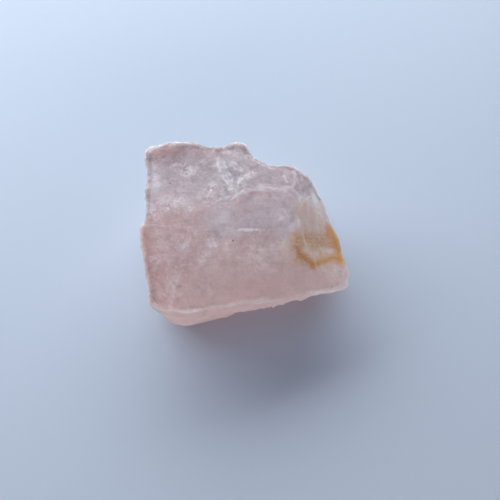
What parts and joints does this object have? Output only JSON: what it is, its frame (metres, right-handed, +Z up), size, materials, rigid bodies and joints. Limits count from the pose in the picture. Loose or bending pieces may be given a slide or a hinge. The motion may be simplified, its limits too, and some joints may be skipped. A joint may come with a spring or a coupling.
{
  "type": "rose quartz chunk",
  "caption": "Rough chunk of pale pink quartz, broken on every side, with milky veils, a rust-stained face and a flat break to rest on.",
  "frame": {"origin": "on the surface that the stone lies on, under the middle of its box", "axes": "+X along the stone towards the rust-stained face, +Y from the front to the back, +Z up"},
  "size_m": [0.0442, 0.038, 0.0215],
  "materials": {
    "rose_quartz": "milky pale pink quartz, waxy on the breaks, with white veils and an orange-brown iron stain on one face"
  },
  "bodies": {
    "root": {"rose_quartz_chunk": "rose_quartz"}
  },
  "joints": []
}
